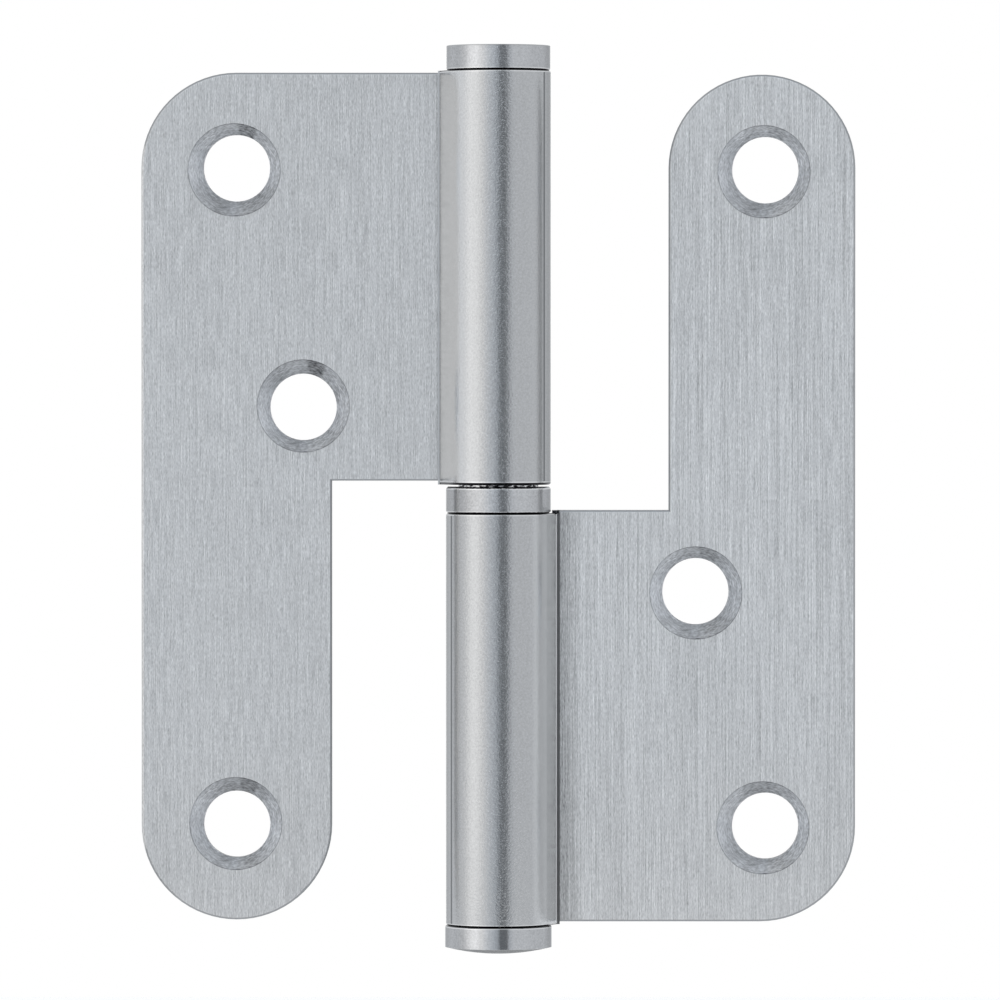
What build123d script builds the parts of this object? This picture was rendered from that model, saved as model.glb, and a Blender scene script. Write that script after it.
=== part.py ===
from build123d import *

import os
from math import acos, atan2, cos, degrees, hypot, radians, sin, sqrt, tan

# A lift-off hinge in brushed stainless steel, laid open flat, in millimetres. The pin stands
# along Z, and the origin lies on its axis, half way up the bearing ring. The countersunk
# faces look to -Y. The door leaf is on the -X side, with the upper knuckle, and lifts off.
# The frame leaf is on the +X side, with the lower knuckle, which holds the pin.

# Leaf plates
sheet = 2.5  # thickness of the steel of both leaves
leaf_length = 89.0  # height of each plate
leaf_reach = 37.5  # from the pin's axis to a plate's outer edge
door_leg_width = 20.0  # the strip of a plate that runs on past the other leaf's knuckle
frame_leg_width = 19.6
corner_radius = 10.0  # the plate's one round corner; the leg ends in a full round
edge_break = 0.25  # rounding of the plates' front edges
face_drop = 0.6  # the front faces lie this far behind the pin's axis

# Knuckles, rolled from the same sheet
door_knuckle_length = 43.45
frame_knuckle_length = 43.25
bend_radius = 0.5  # inside of the bend where the plate turns into the knuckle
lip_overlap = 0.65  # the rolled end lands on the plate this far outside the knuckle's radius
seam_gap = 0.15  # between the rolled end and the plate's front face
door_seam_width = 0.2  # the groove that stays open between the rolled end and the plate
door_seam_depth = 0.05
frame_seam_width = 0.3
frame_seam_depth = 0.3
knuckle_break = 0.15  # chamfer round a knuckle's ends
lead_in = 0.3  # chamfer of the bore that comes down over the pin
door_end_step = 0.2  # the knuckle stands this much past the plate at its capped end
door_notch_step = 0.4  # and this much at the ring
frame_end_step = 0.3
frame_notch_step = -0.3  # here the plate stands past the knuckle
notch_edge_reach = 5.65  # and its edge runs in over the knuckle's end, up to the ring

# Pin, ring and caps
pin_diameter = 6.0  # pressed into the lower knuckle
running_clearance = 0.05  # round the pin in the upper knuckle, on the radius
tip_rounding = 1.2
foot_break = 0.4
ring_diameter = 11.0
ring_height = 2.8
ring_clearance = 0.1  # round the pin in the ring, on the radius
ring_break = 0.2
ring_collar_diameter = 8.4  # round the pin on top of the ring, up to the running clearance
lift_gap = 0.2  # left over the ring, because the pin's tip carries the door
top_cap_diameter = 10.9
top_cap_height = 2.6
bottom_cap_diameter = 11.2
bottom_cap_rim = 2.3
bottom_cap_dome = 0.7
spigot_length = 5.0  # how far each cap is pressed into its knuckle
cap_break = 0.15  # chamfer next to the knuckles
cap_top_break = 0.05

# Screw holes
hole_diameter = 7.0
countersink_diameter = 9.8
countersink_angle = 90.0
countersink_overlap = 0.35  # the countersink's cone ends this far inside the hole's radius
# How far each countersink runs off its hole, outwards and towards the leg: capped end's
# hole, middle hole, leg's hole
door_drifts = [(0.25, 0.2), (0.0, -0.1), (0.1, -0.1)]
frame_drifts = [(-0.3, -0.15), (0.0, -0.15), (-0.2, -0.2)]
hole_end_margin = 10.0  # end holes to the plate's two ends
door_hole_margin = 10.0  # end holes to the plate's outer edge
frame_hole_margin = 9.4
door_middle_margin = 17.0  # middle hole to the outer edge
frame_middle_margin = 16.75
door_middle_rise = 35.1  # middle hole to the plate's capped end
frame_middle_rise = 34.7

bore_radius = pin_diameter / 2
knuckle_radius = bore_radius + sheet
seam_reach = knuckle_radius + lip_overlap
front_level = -face_drop  # the plate's faces, measured from the axis towards the viewer
back_level = front_level - sheet
lip_level = front_level + seam_gap
door_start = ring_height / 2 + lift_gap  # ring's mid-height to the upper knuckle
frame_start = ring_height / 2  # and to the lower knuckle, which the ring rests on
door_end = door_start + door_knuckle_length
frame_end = frame_start + frame_knuckle_length


def rolled_section(side, start, seam_width, seam_depth):
    """A knuckle's section, across the pin, in a plane at the knuckle's ring end. The sheet
    comes in from the plate, bends back, and rolls round the bore until its end stands on
    the plate's front face, with a groove left open at the seam. The plane's x runs from the
    axis to the plate, y to the viewer."""
    across = Plane(origin=(0, 0, -side * start), x_dir=(side, 0, 0), z_dir=(0, 0, -side))
    bend_level = back_level - bend_radius
    bend_reach = sqrt((knuckle_radius + bend_radius) ** 2 - bend_level**2)
    bend_centre = (bend_reach, bend_level)
    bend_angle = degrees(atan2(bend_level, bend_reach))
    lip_angle = degrees(
        acos(knuckle_radius / hypot(seam_reach, lip_level)) + atan2(lip_level, seam_reach)
    )
    roll = 360 + bend_angle - lip_angle
    lip = radians(lip_angle)
    lip_fall = (bore_radius * sin(lip) - lip_level) / cos(lip)
    inner_reach = bore_radius * cos(lip) + lip_fall * sin(lip)
    outer_tangent = (knuckle_radius * cos(lip), knuckle_radius * sin(lip))
    inner_tangent = (bore_radius * cos(lip), bore_radius * sin(lip))
    plate_start = seam_reach + seam_width
    groove_level = front_level - seam_depth
    with BuildSketch(across) as section:
        with BuildLine():
            Line((plate_start, back_level), (bend_reach, back_level))
            CenterArc(bend_centre, bend_radius, 90, 90 + bend_angle)
            CenterArc((0, 0), knuckle_radius, bend_angle, -roll)
            Line(outer_tangent, (seam_reach, lip_level))
            Line((seam_reach, lip_level), (inner_reach, lip_level))
            Line((inner_reach, lip_level), inner_tangent)
            CenterArc((0, 0), bore_radius, lip_angle, roll)
            CenterArc(bend_centre, bend_radius + sheet, 180 + bend_angle, -90 - bend_angle)
            Line((bend_reach, front_level), (seam_reach - seam_gap, front_level))
            Line((seam_reach - seam_gap, front_level), (seam_reach, groove_level))
            Line((seam_reach, groove_level), (plate_start, groove_level))
            Line((plate_start, groove_level), (plate_start, back_level))
        make_face()
    return section.sketch


def plate_outline(front, ends, notch, leg_width, plate_start, knuckle_foot):
    """A plate's outline on its front face. The plane's x runs from the axis outwards, and y
    from the plate's capped end to the round end of the leg. Where the notch lies past the
    knuckle's ring end, its edge runs in over the knuckle."""
    near_end, far_end = ends
    leg_radius = leg_width / 2
    leg_edge = leaf_reach - leg_width
    with BuildSketch(front) as outline:
        with BuildLine():
            Line((plate_start, near_end), (leaf_reach - corner_radius, near_end))
            CenterArc(
                (leaf_reach - corner_radius, near_end + corner_radius), corner_radius, -90, 90
            )
            Line((leaf_reach, near_end + corner_radius), (leaf_reach, far_end - leg_radius))
            CenterArc((leaf_reach - leg_radius, far_end - leg_radius), leg_radius, 0, 180)
            Line((leg_edge, far_end - leg_radius), (leg_edge, notch))
            if notch > knuckle_foot:
                Line((leg_edge, notch), (notch_edge_reach, notch))
                Line((notch_edge_reach, notch), (notch_edge_reach, knuckle_foot))
                Line((notch_edge_reach, knuckle_foot), (plate_start, knuckle_foot))
                Line((plate_start, knuckle_foot), (plate_start, near_end))
            else:
                Line((leg_edge, notch), (plate_start, notch))
                Line((plate_start, notch), (plate_start, near_end))
        make_face()
    return outline.sketch


def pressed_leaf(
    side, knuckle, end_step, notch_step, leg_width, margins, middle_rise, drifts, seam
):
    """One leaf: a rolled knuckle and a flat plate with three countersunk screw holes. side
    is -1 for the leaf at -X, whose knuckle stands over the ring, and +1 for the other."""
    front = Plane(origin=(0, face_drop, 0), x_dir=(side, 0, 0), z_dir=(0, -1, 0))
    start, knuckle_length = knuckle
    seam_width, seam_depth = seam
    plate_start = seam_reach + seam_width
    near_end = end_step - start - knuckle_length
    far_end = near_end + leaf_length
    end_margin, middle_margin = margins
    with BuildPart() as leaf:
        extrude(rolled_section(side, start, seam_width, seam_depth), amount=knuckle_length)
        rims = leaf.edges().filter_by(GeomType.CIRCLE)
        chamfer(rims.filter_by(lambda rim: abs(rim.radius - knuckle_radius) < 0.01), knuckle_break)

        ends, notch = (near_end, far_end), -start - notch_step
        outline = plate_outline(front, ends, notch, leg_width, plate_start, -start)
        plate = extrude(outline, amount=-sheet, mode=Mode.PRIVATE)
        outer_edges = plate.faces().sort_by(Axis.Y)[0].edges()
        outer_edges = outer_edges.filter_by(
            lambda edge: abs(edge.center().X) > plate_start + edge_break
        )
        add(plate.fillet(edge_break, outer_edges))

        places = [
            (leaf_reach - end_margin, near_end + hole_end_margin),
            (leaf_reach - middle_margin, near_end + middle_rise),
            (leaf_reach - end_margin, far_end - hole_end_margin),
        ]
        sink_places = [(x + out, y + on) for (x, y), (out, on) in zip(places, drifts)]
        sink_end = hole_diameter / 2 - countersink_overlap
        sink_depth = (countersink_diameter / 2 - sink_end) / tan(radians(countersink_angle / 2))
        with Locations(*[front * Location(place) for place in places]):
            Hole(hole_diameter / 2, depth=2 * sheet)
        with Locations(*[front * Location(place) for place in sink_places]):
            Cone(
                sink_end,
                countersink_diameter / 2,
                sink_depth,
                align=(Align.CENTER, Align.CENTER, Align.MAX),
                mode=Mode.SUBTRACT,
            )
    return leaf.part


os.makedirs("parts", exist_ok=True)

# Door leaf, with the running bore opened at its foot
with BuildPart() as door_leaf:
    add(
        pressed_leaf(
            -1,
            (door_start, door_knuckle_length),
            door_end_step,
            door_notch_step,
            door_leg_width,
            (door_hole_margin, door_middle_margin),
            door_middle_rise,
            door_drifts,
            (door_seam_width, door_seam_depth),
        )
    )
    with Locations((0, 0, door_start)):
        Cone(
            bore_radius + lead_in,
            bore_radius,
            lead_in,
            align=(Align.CENTER, Align.CENTER, Align.MIN),
            mode=Mode.SUBTRACT,
        )
door_leaf.part.label = "door_leaf"
export_step(door_leaf.part, "parts/door_leaf.step")

# Frame leaf
with BuildPart() as frame_leaf:
    add(
        pressed_leaf(
            1,
            (frame_start, frame_knuckle_length),
            frame_end_step,
            frame_notch_step,
            frame_leg_width,
            (frame_hole_margin, frame_middle_margin),
            frame_middle_rise,
            frame_drifts,
            (frame_seam_width, frame_seam_depth),
        )
    )
frame_leaf.part.label = "frame_leaf"
export_step(frame_leaf.part, "parts/frame_leaf.step")

# Pin: a tight stretch in the lower knuckle, a running stretch above it, a rounded tip that
# meets the top cap's spigot and carries the door
with BuildPart() as pin:
    run_radius = bore_radius - running_clearance
    pin_foot = spigot_length - frame_end
    pin_tip = door_end - spigot_length
    with BuildSketch(Plane.XZ):
        with BuildLine():
            Line((0, pin_foot), (bore_radius - foot_break, pin_foot))
            Line((bore_radius - foot_break, pin_foot), (bore_radius, pin_foot + foot_break))
            Line((bore_radius, pin_foot + foot_break), (bore_radius, -frame_start))
            Line((bore_radius, -frame_start), (run_radius, -frame_start))
            Line((run_radius, -frame_start), (run_radius, pin_tip - tip_rounding))
            CenterArc((run_radius - tip_rounding, pin_tip - tip_rounding), tip_rounding, 0, 90)
            Line((run_radius - tip_rounding, pin_tip), (0, pin_tip))
            Line((0, pin_tip), (0, pin_foot))
        make_face()
    revolve(axis=Axis.Z)
pin.part.label = "pin"
export_step(pin.part, "parts/pin.step")

# Bearing ring between the knuckles
with BuildPart() as bearing_ring:
    with BuildSketch(Plane.XY.offset(-ring_height / 2)):
        Circle(ring_diameter / 2)
        Circle(bore_radius + ring_clearance, mode=Mode.SUBTRACT)
    extrude(amount=ring_height)
    rims = bearing_ring.edges().filter_by(GeomType.CIRCLE)
    chamfer(rims.filter_by(lambda rim: abs(rim.radius - ring_diameter / 2) < 0.01), ring_break)
    with BuildSketch(Plane.XY.offset(ring_height / 2)):
        Circle(ring_collar_diameter / 2)
        Circle(bore_radius + ring_clearance, mode=Mode.SUBTRACT)
    extrude(amount=lift_gap - running_clearance)
bearing_ring.part.label = "bearing_ring"
export_step(bearing_ring.part, "parts/bearing_ring.step")

# Top cap: a flat head on a spigot that is pressed into the upper knuckle
with BuildPart() as top_cap:
    with BuildSketch(Plane.XY.offset(door_end)):
        Circle(top_cap_diameter / 2)
    extrude(amount=top_cap_height)
    foot, crown = top_cap.edges().filter_by(GeomType.CIRCLE).sort_by(Axis.Z)
    chamfer(foot, cap_break)
    chamfer(crown, cap_top_break)
    with BuildSketch(Plane.XY.offset(door_end)):
        Circle(bore_radius)
    extrude(amount=-spigot_length)
top_cap.part.label = "top_cap"
export_step(top_cap.part, "parts/top_cap.step")

# Bottom cap: a rim with a shallow dome under it, on the same spigot
with BuildPart() as bottom_cap:
    cap_radius = bottom_cap_diameter / 2
    rim_foot = -frame_end - bottom_cap_rim
    with BuildSketch(Plane.XZ):
        with BuildLine():
            Line((0, -frame_end), (cap_radius - cap_break, -frame_end))
            Line((cap_radius - cap_break, -frame_end), (cap_radius, -frame_end - cap_break))
            Line((cap_radius, -frame_end - cap_break), (cap_radius, rim_foot))
            dome = ThreePointArc(
                (cap_radius, rim_foot),
                (0, rim_foot - bottom_cap_dome),
                (-cap_radius, rim_foot),
                mode=Mode.PRIVATE,
            )
            add(dome.trim(0, 0.5))
            Line((0, rim_foot - bottom_cap_dome), (0, -frame_end))
        make_face()
    revolve(axis=Axis.Z)
    with BuildSketch(Plane.XY.offset(-frame_end)):
        Circle(bore_radius)
    extrude(amount=spigot_length)
bottom_cap.part.label = "bottom_cap"
export_step(bottom_cap.part, "parts/bottom_cap.step")
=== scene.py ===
from math import atan2, pi
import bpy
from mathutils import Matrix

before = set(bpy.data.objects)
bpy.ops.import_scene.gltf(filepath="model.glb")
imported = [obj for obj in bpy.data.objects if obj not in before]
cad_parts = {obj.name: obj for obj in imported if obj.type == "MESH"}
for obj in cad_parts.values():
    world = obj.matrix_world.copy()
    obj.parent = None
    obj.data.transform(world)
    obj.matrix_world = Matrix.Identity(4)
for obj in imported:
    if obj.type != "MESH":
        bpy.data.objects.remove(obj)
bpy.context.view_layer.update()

from types import SimpleNamespace

import bpy
import numpy as np


# The two leaves. Each is one pressing of 2.5 mm stainless sheet: the plate is brushed upright,
# the knuckle is rolled from the same sheet and left satin, and the three screw holes are
# drilled and countersunk after that. Lengths in the finishes are in millimetres.

plate_front = 0.6
plate_back = 3.1
edge_break = 0.25
seam_reach = 6.15
countersink_reach = 4.9
relief_depth = 0.000018

# How far past a face a place counts as off it, and how soft a line's border is.
skin = 0.002
back_skin = 0.01
blur = 0.04

# The first colour draws thin dark lines: the line down each knuckle, and painted shade round each
# countersink's mouth and bore. The second is a painted shade, nearly black, for the gaps between
# pieces and the corner by the ring. The third is a painted highlight for broken edges, the rolled
# lip and glints.
line_colour = (0.060, 0.065, 0.070)
joint_colour = (0.012, 0.012, 0.014)
rim_colour = (0.74, 0.74, 0.74)


def opaque(colour):
    """A written colour with its alpha of 1, or a worked-out one as it is."""
    return (*colour, 1.0) if isinstance(colour, tuple) else colour


class Shade:
    """A socket of a tree of nodes. Sums on it add Math nodes, and node() adds any other."""

    def __init__(self, tree, socket=None):
        self.tree = tree
        self.socket = socket

    def node(self, kind, settings=None, inputs=None, output=0):
        """A new node: its settings first, a ramp's stops among them, then its sockets. The
        result is the output asked for, if the node has any."""
        node = self.tree.nodes.new(kind)
        for name, value in (settings or {}).items():
            if name == "stops":
                elements = node.color_ramp.elements
                while len(elements) < len(value):
                    elements.new(1.0)
                for element, (place, level) in zip(elements, value):
                    element.position = place
                    element.color = (level, level, level, 1.0)
            else:
                setattr(node, name, value)
        for name, value in (inputs or {}).items():
            if isinstance(value, Shade):
                self.tree.links.new(value.socket, node.inputs[name])
            else:
                node.inputs[name].default_value = value
        return Shade(self.tree, node.outputs[output] if node.outputs else None)

    def outputs(self, *names):
        """The named outputs of the node that this socket is on."""
        return tuple(Shade(self.tree, self.socket.node.outputs[name]) for name in names)

    def math(self, operation, *values):
        """A Math node of the operation on the values."""
        return self.node("ShaderNodeMath", {"operation": operation}, dict(enumerate(values)))

    def __add__(self, other):
        return self.math("ADD", self, other)

    __radd__ = __add__

    def __sub__(self, other):
        return self.math("SUBTRACT", self, other)

    def __rsub__(self, other):
        return self.math("SUBTRACT", other, self)

    def __mul__(self, other):
        return self.math("MULTIPLY", self, other)

    __rmul__ = __mul__

    def __truediv__(self, other):
        return self.math("DIVIDE", self, other)

    def absolute(self):
        return self.math("ABSOLUTE", self)

    def root(self):
        return self.math("SQRT", self)

    def above(self, level):
        return self.math("GREATER_THAN", self, level)

    def below(self, level):
        return self.math("LESS_THAN", self, level)

    def step(self, low, high):
        """0 before low, 1 past high, and a straight line between them."""
        return self.node("ShaderNodeMapRange", {"clamp": True},
                         {"Value": self, "From Min": low, "From Max": high})

    def near(self, level, low, high):
        """1 within low of a level, and 0 beyond high of it."""
        return (self - level).absolute().step(high, low)

    def blend(self, first, second):
        """The colour first where this is 0 and second where it is 1."""
        return self.node("ShaderNodeMix", {"data_type": "RGBA"},
                         {0: self, 6: opaque(first), 7: opaque(second)}, output=2)

    def tint(self, colour):
        """The colour with its brightness multiplied by this."""
        grey = self.node("ShaderNodeCombineColor", inputs={0: self, 1: self, 2: self})
        return self.node("ShaderNodeMix", {"data_type": "RGBA", "blend_type": "MULTIPLY"},
                         {0: 1.0, 6: opaque(colour), 7: grey}, output=2)

    def noise(self, place, pace, detail=2.0, roughness=0.5):
        """Noise about 0.5 on a place, each of its three values multiplied by its pace."""
        paced = [value * rate for value, rate in zip(place, pace)]
        point = self.node("ShaderNodeCombineXYZ", inputs=dict(enumerate(paced)))
        return self.node("ShaderNodeTexNoise", inputs={
            "Vector": point, "Scale": 1.0, "Detail": detail, "Roughness": roughness})


def new_material(name):
    """A material without nodes, and the Shade that adds them to it."""
    material = bpy.data.materials.new(name)
    material.use_nodes = True
    material.node_tree.nodes.clear()
    return material, Shade(material.node_tree)


def place_in_mm(shade):
    """The object coordinates in millimetres, as three values."""
    place = shade.node("ShaderNodeTexCoord", output="Object")
    point = shade.node("ShaderNodeVectorMath", {"operation": "SCALE"}, {0: place, "Scale": 1000.0})
    return shade.node("ShaderNodeSeparateXYZ", inputs={0: point}).outputs("X", "Y", "Z")


def end_in_shader(shade, inputs):
    """The shader with these values on its sockets, and the material's output after it."""
    surface = shade.node("ShaderNodeBsdfPrincipled", inputs=inputs)
    shade.node("ShaderNodeOutputMaterial", inputs={"Surface": surface})


def finish_steel(shade, colour, roughness, metal, height):
    """Steel with a fine relief, whose height is a share of the relief's depth."""
    bump = shade.node("ShaderNodeBump", inputs={
        "Strength": 1.0, "Distance": relief_depth, "Height": height})
    end_in_shader(shade, {
        "Base Color": colour, "Roughness": roughness, "Metallic": metal, "Normal": bump})


def satin_grain(shade, place):
    """The fine even grain of satin steel, the same in all directions, about 0.5."""
    return shade.noise(place, (4.5, 4.5, 4.5), roughness=0.7)


def joint_lines(colour, z, joints, mask):
    """Where two pieces meet, a painted shade line in the gap, with a painted highlight on the
    broken edge beside it. A joint has its height, how far the dark and the bright reach from it,
    and the dark's colour."""
    for height, dark_reach, bright_reach, dark_colour in joints:
        bright = z.near(height, bright_reach, bright_reach + 0.06) * mask
        dark = z.near(height, dark_reach, dark_reach + blur) * mask
        colour = dark.blend(bright.blend(colour, rim_colour), dark_colour)
    return colour


plate_colour = (0.588, 0.588, 0.587)
plate_roughness = 0.38
brush_fleck = (15.0, 1.5, 3.0)
brush_short = (15.0, 1.5, 1.5)
brush_middling = (13.0, 1.5, 0.3)
brush_long = (10.0, 0.5, 0.05)
brush_relief = (0.3, 0.2, 0.6, 0.8)
cloud_pace = (0.06, 0.1, 0.06)
cloud_share = 0.06
tone_fall = 0.001
rough_swing = 0.20
sheared_calm = 0.7
sheared_flat = 0.8


def brushed_plate(shade, place, rolled, dirt, look):
    """The plate's colour, roughness and relief. Its tone and its relief are each a sum of four
    noises drawn out along the brushing, from flecks to long streaks, times a share of each.
    Both are calmer on a sheared edge, and the tone falls a little with the height."""
    y, z = place[1:]
    fleck = shade.noise(place, brush_fleck, detail=1.0)
    short = shade.noise(place, brush_short, detail=1.0)
    middling = shade.noise(place, brush_middling, detail=1.0)
    long = shade.noise(place, brush_long, roughness=0.6)
    cloud = shade.noise(place, cloud_pace)
    layers = (fleck, short, middling, long)
    sheared = y.above(plate_front + edge_break + 0.05) * y.below(plate_back - back_skin)
    sheared = sheared * (1.0 - rolled)
    streaks = sum(share * (layer - 0.5) for share, layer in zip(look.streak_mix, layers))
    streaks = streaks * (1.0 - sheared_calm * sheared)
    # The tone is lowered by the painted shade at the seam that is passed in.
    tone = look.plate_tone + streaks + cloud_share * (cloud - 0.5) - dirt - tone_fall * z
    height = sum(layer * share for share, layer in zip(brush_relief, layers))
    height = height * (1.0 - sheared_flat * sheared)
    return tone.tint(plate_colour), plate_roughness + rough_swing * (middling - 0.5), height


knuckle_colour = (0.520, 0.525, 0.530)
knuckle_roughness = 0.14
knuckle_grain = 0.40
knuckle_relief = 1.2
front_depth = 1.0
soil_reach = 6.25
soil_band = (0.12, 0.45)
shadow_span = (8.9, 6.3)


def plate_and_knuckle(shade, place, outwards, rolled, look):
    """The plate's finish where rolled is 0 and the satin knuckle's where it is 1. Both carry a
    painted shade in the crease at the seam. The plate also has a painted shade towards it, and the
    knuckle a painted highlight at its root."""
    # A painted shade darkens the front by the seam's crease.
    soil = look.soil * outwards.near(soil_reach, *soil_band) * place[1].below(front_depth)
    shadow = look.seam_shade * outwards.step(*shadow_span)
    plate, roughness, height = brushed_plate(shade, place, rolled, soil + shadow, look)
    grain = satin_grain(shade, place)
    # A painted highlight brightens the knuckle towards its root.
    root = look.root_shine * outwards.step(*look.root_reach)
    satin = (look.knuckle_tone + knuckle_grain * (grain - 0.5) + root - soil).tint(knuckle_colour)
    roughness = roughness + rolled * (knuckle_roughness - plate_roughness)
    height = height + rolled * (grain * knuckle_relief - height)
    return rolled.blend(plate, satin), roughness, height


die_line_band = (0.04, 0.11)
die_line_share = 0.75
seam_depth = 1.5
lip_reach = seam_reach - 0.05
lip_band = (0.05, 0.09)
lip_dullness = 1.5


def seam_marks(colour, outwards, y, look):
    """A thin dark line down the knuckle, the seam beside the barrel, where a dark seam colour is a
    painted shade, and a painted highlight on the rolled lip's edge. The result is the colour, how
    metallic the steel is, and where the seam is."""
    die_line = (outwards * -1.0).near(look.die_line_place, *die_line_band) * y.below(0.0)
    colour = (die_line_share * die_line).blend(colour, line_colour)
    half = look.seam_width / 2
    seam = outwards.near(seam_reach + half, half - 0.01, half + 0.02) * y.below(seam_depth)
    # Where the seam's colour is dark, it is a painted shade.
    colour = seam.blend(colour, look.seam_colour)
    # A painted highlight on the rolled lip's edge.
    lip = look.lip_shine * outwards.near(lip_reach, *lip_band) * y.below(front_depth)
    colour = lip.blend(colour, rim_colour)
    return colour, 1.0 - lip_dullness * lip - look.seam_dullness * seam, seam


edge_colour = (0.33, 0.34, 0.35)
edge_onset = 0.012
edge_depth = edge_break + 0.05
outer_edge = 37.1
corner_height = -1.25
corner_band = (0.16, 0.18)
corner_depth = 0.5


def broken_edges(colour, place, outwards, rolled, seam, look):
    """The plate's broken front edges carry a painted shade, darker than its face, which is lifted
    in part from the outer edge, on the door leaf almost wholly. The shadow in the corner between
    the ring and the plate is painted nearly black."""
    y, z = place[1:]
    edge = y.step(plate_front + skin, plate_front + edge_onset)
    edge = edge * y.below(plate_front + edge_depth) * (1.0 - rolled) * (1.0 - seam)
    # The outer edge keeps more of the face's colour, where the others take the painted edge shade.
    edge = edge * (1.0 - look.worn_edge * outwards.above(outer_edge))
    colour = joint_lines(edge.blend(colour, edge_colour), z, look.knuckle_ends, rolled)
    corner = outwards.below(seam_reach + 0.2) * y.above(corner_depth)
    corner = corner * z.near(corner_height, *corner_band)
    return corner.blend(colour, joint_colour)


countersink_colour = (0.526, 0.536, 0.552)
countersink_roughness = 0.30
countersink_relief = 1.5
cutter_pace = (9.0, 2.4, 2.4)
cutter_share = 1.5
patch_pace = (0.45, 0.1, 0.45)
patch_share = 0.8
cone_tone = 0.135
cone_fall = (0.15, 0.07)
cone_swing = 0.17
chatter_way = (0.33, 0.945)
chatter_span = (0.972, 0.990)
mouth_span = (countersink_reach - 0.14, countersink_reach - 0.04)
mouth_line = 0.5
wall_span = (0.02, 0.10)
wall_line = 0.8


def countersinks(shade, place, colour, roughness, height, look):
    """Inside each hole's reach, the drill's rings take the place of the plate's finish. The cone's
    tone falls to one side and swings twice round, a painted shade and painted reflection, and it
    has one dark mark. Thin lines of painted shade follow its mouth and the top of the bore's wall."""
    x, y, z = place
    bored, rings, tone, mouth, wall = 0.0, 0.5, 1.0, 0.0, 0.0
    for hole_x, hole_z in look.countersinks:
        across, up = x - hole_x, z - hole_z
        reach = (across * across + up * up).root()
        inside = reach.below(countersink_reach + 0.02) * y.above(plate_front + skin)
        inside = inside * y.below(plate_back - back_skin)
        cutter = shade.noise((reach, across, up), cutter_pace, detail=1.0)
        swing = (across * across - up * up) / (reach * reach)
        fall = (cone_fall[0] * across + cone_fall[1] * up) / reach
        mark = (chatter_way[0] * across + chatter_way[1] * up) / reach
        mark = look.chatter * mark.step(*chatter_span)
        depth = reach + y - plate_front - countersink_reach
        bored = bored + inside
        rings = rings + inside * (cutter - 0.5)
        # The fall and the swing paint the cone's shade and reflection.
        tone = tone + inside * (cone_tone - fall + cone_swing * swing - mark)
        mouth = mouth + inside * reach.step(*mouth_span)
        wall = wall + inside * depth.step(*wall_span)
    patches = shade.noise(place, patch_pace)
    cone = tone + cutter_share * (rings - 0.5) + patch_share * (patches - 0.5)
    cone = (mouth_line * mouth).blend(cone.tint(countersink_colour), line_colour)
    cone = (wall_line * wall).blend(cone, line_colour)
    roughness = roughness + bored * (countersink_roughness - roughness)
    height = height + bored * (rings * countersink_relief - height)
    return bored.blend(colour, cone), roughness, height


def leaf_steel(name, look):
    """The whole finish of a leaf. Outwards is the distance from the pin on the leaf's own side,
    and rolled is 1 on the knuckle and 0 on the plate."""
    material, shade = new_material(name)
    place = place_in_mm(shade)
    x, y = place[:2]
    outwards = x * look.side
    rolled = outwards.step(seam_reach + blur, seam_reach)
    colour, roughness, height = plate_and_knuckle(shade, place, outwards, rolled, look)
    colour, metal, seam = seam_marks(colour, outwards, y, look)
    colour = broken_edges(colour, place, outwards, rolled, seam, look)
    colour, roughness, height = countersinks(shade, place, colour, roughness, height, look)
    finish_steel(shade, colour, roughness, metal, height)
    return material


def dress(name, material):
    """Give the CAD node its finish."""
    for slot in bpy.data.objects[name].material_slots:
        slot.material = material


# The door leaf's seam is closed and dull, its outer edge keeps most of its colour beside the
# painted edge shade, and its countersinks have a dark mark. The frame leaf's seam is open, with a
# painted shade in it beside a painted highlight on the lip, and a painted shade lies on the plate
# beside it.
door_look = SimpleNamespace(
    side=-1, plate_tone=1.0, knuckle_tone=0.93, root_shine=0.34, root_reach=(2.6, 4.2),
    streak_mix=(0.70, 0.69, 0.60, 0.42), die_line_place=4.80,
    seam_width=0.2, seam_colour=(0.56, 0.57, 0.58), seam_dullness=0.7, seam_shade=0.0,
    soil=0.15, lip_shine=0.05, worn_edge=0.9, chatter=0.32,
    knuckle_ends=((1.6, 0.22, 0.34, joint_colour), (45.05, 0.09, 0.20, joint_colour)),
    countersinks=((-27.75, 34.65), (-20.5, 9.85), (-27.6, -34.05)))
frame_look = SimpleNamespace(
    side=1, plate_tone=1.05, knuckle_tone=0.92, root_shine=0.75, root_reach=(3.5, 5.8),
    streak_mix=(0.72, 0.75, 0.60, 0.86), die_line_place=4.92,
    seam_width=0.3, seam_colour=(0.14, 0.14, 0.14), seam_dullness=0.0, seam_shade=0.46,
    soil=0.0, lip_shine=0.8, worn_edge=0.2, chatter=0.10,
    knuckle_ends=((-44.65, 0.09, 0.20, joint_colour), (-1.4, 0.09, 0.20, joint_colour)),
    countersinks=((27.8, -34.5), (20.75, -9.8), (27.9, 34.45)))
dress("door_leaf", leaf_steel("door leaf steel", door_look))
dress("frame_leaf", leaf_steel("frame leaf steel", frame_look))


# The turned pieces: the pin, the bearing ring and the two caps. They are parted off from bright
# bar, so the tool's lines run round them and in circles on their ends.

turned_colour = (0.525, 0.530, 0.540)
turned_lines = (9.0, 9.0, 0.1)
turned_barrel = (5.15, 5.2)
line_share = 0.10
grain_share = 0.60
grain_dullness = 0.06
line_relief = 0.3
stain_blur = 1.4
right_stain = 0.10
right_stain_span = (2.8, 3.6)
grease_colour = (0.010, 0.010, 0.011)
grease_reach = 4.3
grease_height = 1.55
grease_band = (0.20, 0.25)
smear_pace = (1.3, 1.3, 4.0)
smear_span = (0.46, 0.52)
parted_roughness = 0.4
parted_dullness = 0.5
parted_colour = (0.18, 0.185, 0.19)
dull_edge_colour = (0.18, 0.19, 0.20)
worn_edge_colour = (0.44, 0.445, 0.45)


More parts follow.
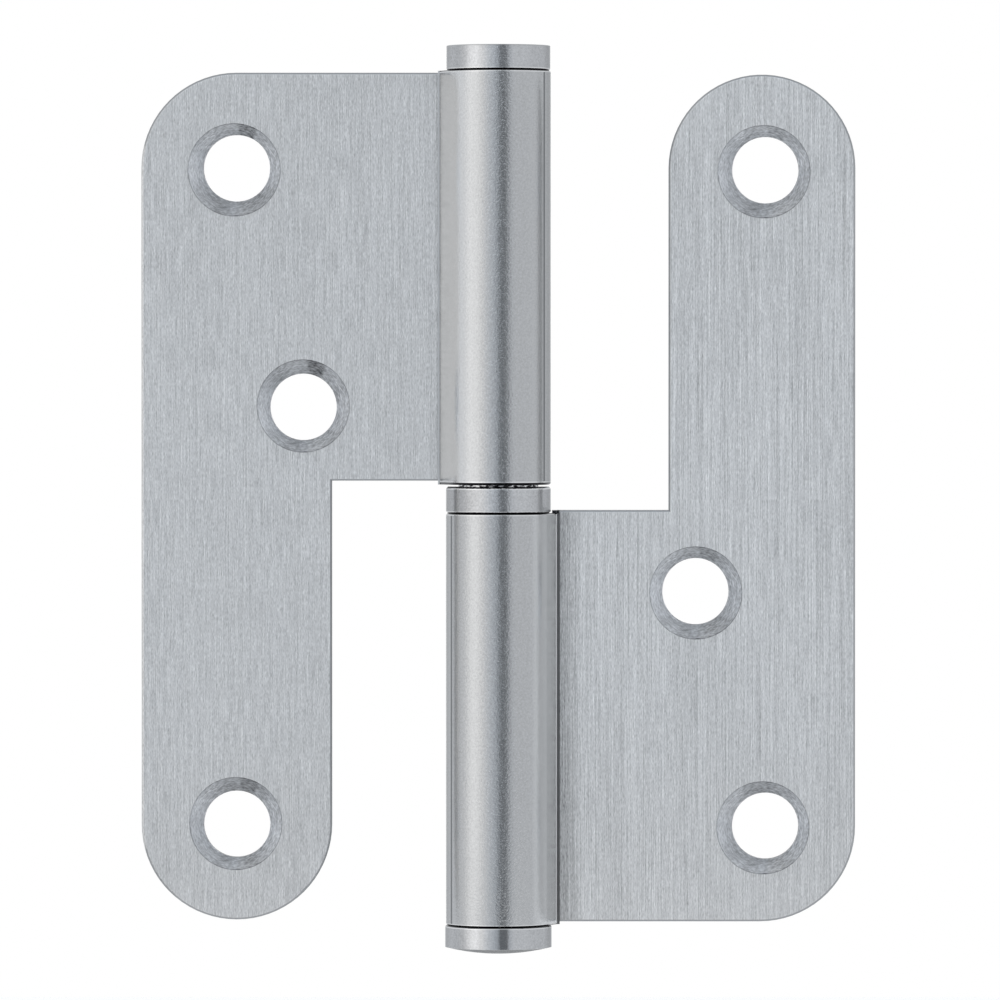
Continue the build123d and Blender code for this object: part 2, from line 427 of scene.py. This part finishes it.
def turned_steel(name, roughness, relief, joints=(), stain_edge=-3.7, stain=0.17, foot=None):
    """The front carries a painted shade towards each side, and the gap over the ring has
    near-black blotches with painted glints. A parted-off face, which lies below foot, is dull and
    carries a painted shade."""
    material, shade = new_material(name)
    place = x, y, z = place_in_mm(shade)
    radius = (x * x + y * y).root()
    lines = shade.noise((radius, z, x), turned_lines)
    grain = satin_grain(shade, place)
    # A painted shade darkens the front towards each side.
    tarnish = stain * x.step(stain_edge + stain_blur, stain_edge)
    tarnish = tarnish + right_stain * x.step(*right_stain_span)
    tone = 1.0 + line_share * (lines - 0.5) + grain_share * (grain - 0.5) - tarnish * y.below(0.0)
    colour = joint_lines(tone.tint(turned_colour), z, joints, radius.step(*turned_barrel))
    # Near-black blotches with painted glints in the gap over the ring.
    smears = shade.noise(place, smear_pace).step(*smear_span)
    greased = radius.below(grease_reach) * z.near(grease_height, *grease_band)
    colour = greased.blend(colour, smears.blend(grease_colour, rim_colour))
    roughness = roughness + grain_dullness * (grain - 0.5)
    metal = 1.0
    if foot is not None:
        parted = z.below(foot)
        # A painted shade darkens the parted-off dome.
        colour = parted.blend(colour, parted_colour)
        roughness = roughness + parted_roughness * parted
        metal = 1.0 - parted_dullness * parted
    finish_steel(shade, colour, roughness, metal, (lines * line_relief + grain) * relief)
    return material


# Each joint is a painted shade line with a painted highlight beside it. The ring's top takes a
# lighter painted shade, and the top cap's own top edge has a painted shade line alone.
ring_joints = ((-1.4, 0.09, 0.20, joint_colour), (1.4, 0.12, 0.26, dull_edge_colour))
top_cap_joints = ((45.05, 0.09, 0.20, joint_colour), (47.65, 0.12, 0.0, worn_edge_colour))
bottom_cap_joints = ((-44.65, 0.09, 0.20, joint_colour),)
dress("pin", turned_steel("greased pin steel", 0.12, 0.8))
dress("bearing_ring", turned_steel(
    "ring steel", 0.13, 1.0, ring_joints, stain_edge=-2.7, stain=0.23))
dress("top_cap", turned_steel(
    "top cap steel", 0.13, 0.8, top_cap_joints, stain_edge=-4.3))
dress("bottom_cap", turned_steel(
    "bottom cap steel", 0.06, 0.2, bottom_cap_joints, foot=-46.97))


# The studio: a pale floor under the hinge, soft light from all round with a bright panel to
# the left of the camera and a darker gap at the camera itself, and a white backdrop.

floor_height = -0.060
floor_half = 0.11
floor_colour = (0.82, 0.82, 0.82, 1.0)
floor_glow = 0.3


def sight_rays(shade):
    """Whether a ray comes from the camera, and whether from a gloss or through glass."""
    rays = shade.node("ShaderNodeLightPath")
    return rays.outputs("Is Camera Ray", "Is Glossy Ray", "Is Transmission Ray")


floor_mesh = bpy.data.meshes.new("floor")
floor_corners = np.array([(-1, -1), (1, -1), (1, 1), (-1, 1)]) * floor_half
floor_points = np.column_stack([floor_corners, np.full(4, floor_height)])
floor_mesh.from_pydata(floor_points.tolist(), [], [(0, 1, 2, 3)])
floor = bpy.data.objects.new("floor", floor_mesh)
bpy.context.collection.objects.link(floor)

floor_paint, shade = new_material("pale floor")
camera_ray, glossy_ray, clear_ray = sight_rays(shade)
glow = (camera_ray + glossy_ray + clear_ray) * floor_glow
end_in_shader(shade, {
    "Base Color": floor_colour, "Roughness": 0.9, "Specular IOR Level": 0.0,
    "Emission Color": glow.tint((1.0, 1.0, 1.0)), "Emission Strength": 1.0})
floor_mesh.materials.append(floor_paint)

world = bpy.data.worlds.new("studio")
bpy.context.scene.world = world
world.use_nodes = True
world.node_tree.nodes.clear()
shade = Shade(world.node_tree)
sight = shade.node("ShaderNodeTexCoord", output="Generated")
east, north, up = shade.node("ShaderNodeSeparateXYZ", inputs={0: sight}).outputs("X", "Y", "Z")
azimuth = shade.math("ARCTAN2", east, 0.0 - north) * (180.0 / pi)

# The panels' brightness by azimuth in degrees, from behind round by the left to behind again.
light_round = (
    (-180, 0.62), (-150, 0.64), (-140, 0.78), (-119, 0.92), (-104, 0.87), (-82, 0.96),
    (-70, 1.25), (-60, 1.43), (-50, 1.42), (-41, 1.23), (-23, 0.90), (-9, 0.70), (-1, 0.53),
    (4, 0.23), (18, 0.23), (24, 0.66), (32, 0.82), (80, 0.86), (92, 0.86), (116, 0.84),
    (143, 0.58), (180, 0.52))
brightest = 2.0
stops = [((degree + 180) / 360, level / brightest) for degree, level in light_round]
ramp = shade.node("ShaderNodeValToRGB", {"stops": stops}, {"Fac": azimuth / 360.0 + 0.5})
panels = ramp * brightest

# Above and below the panels hangs a tent of cloth, brighter to the front and to the left.
panel_middle = -0.015
panel_edge = (0.12, 0.235)
tent_plain = 0.80
tent_front = 0.62
tent_lean = 0.25
height = (up - panel_middle).absolute()
front = (0.0 - north).step(0.0, 1.0)
tent = tent_plain + tent_front * front * front - tent_lean * east * front
studio = panels + height.step(*panel_edge) * (tent - panels)

# The backdrop is white straight behind. The light is a little cool all round but for the
# bright panel on the left, and coolest at the gap.
backdrop_span = (0.97, 0.995)
plain_light = (1.0, 1.0, 1.0)
cool_light = (0.972, 1.0, 1.035)
gap_light = (0.92, 0.985, 1.06)
left_panel = (-52.0, 15.0, 50.0)
gap_place = (1.0, 8.0, 36.0)
behind = north.step(*backdrop_span)
camera_ray, glossy_ray, clear_ray = sight_rays(shade)
white = shade.math("MINIMUM", camera_ray + (glossy_ray + clear_ray) * behind, 1.0)
strength = studio + white * (1.0 - studio)
colour = azimuth.near(*left_panel).blend(cool_light, plain_light)
colour = azimuth.near(*gap_place).blend(colour, gap_light)
colour = white.blend(colour, plain_light)
sky = shade.node("ShaderNodeBackground", inputs={"Color": colour, "Strength": strength})
shade.node("ShaderNodeOutputWorld", inputs={"Surface": sky})

scene = bpy.context.scene
scene.view_settings.view_transform = "Standard"


# The camera stands in front of the pin, 945 mm away and a little above the middle of the
# hinge, with a long lens.

camera_shift = 0.00017
camera_height = 0.014
camera_distance = 0.945
aim_height = -0.00002

camera_data = bpy.data.cameras.new("camera")
camera_data.sensor_width = 36.0
camera_data.lens = 324.0
camera = bpy.data.objects.new("camera", camera_data)
bpy.context.collection.objects.link(camera)
camera.location = (camera_shift, -camera_distance, camera_height)
tilt = atan2(camera_height - aim_height, camera_distance)
camera.rotation_euler = (pi / 2 - tilt, 0, 0)
scene.camera = camera
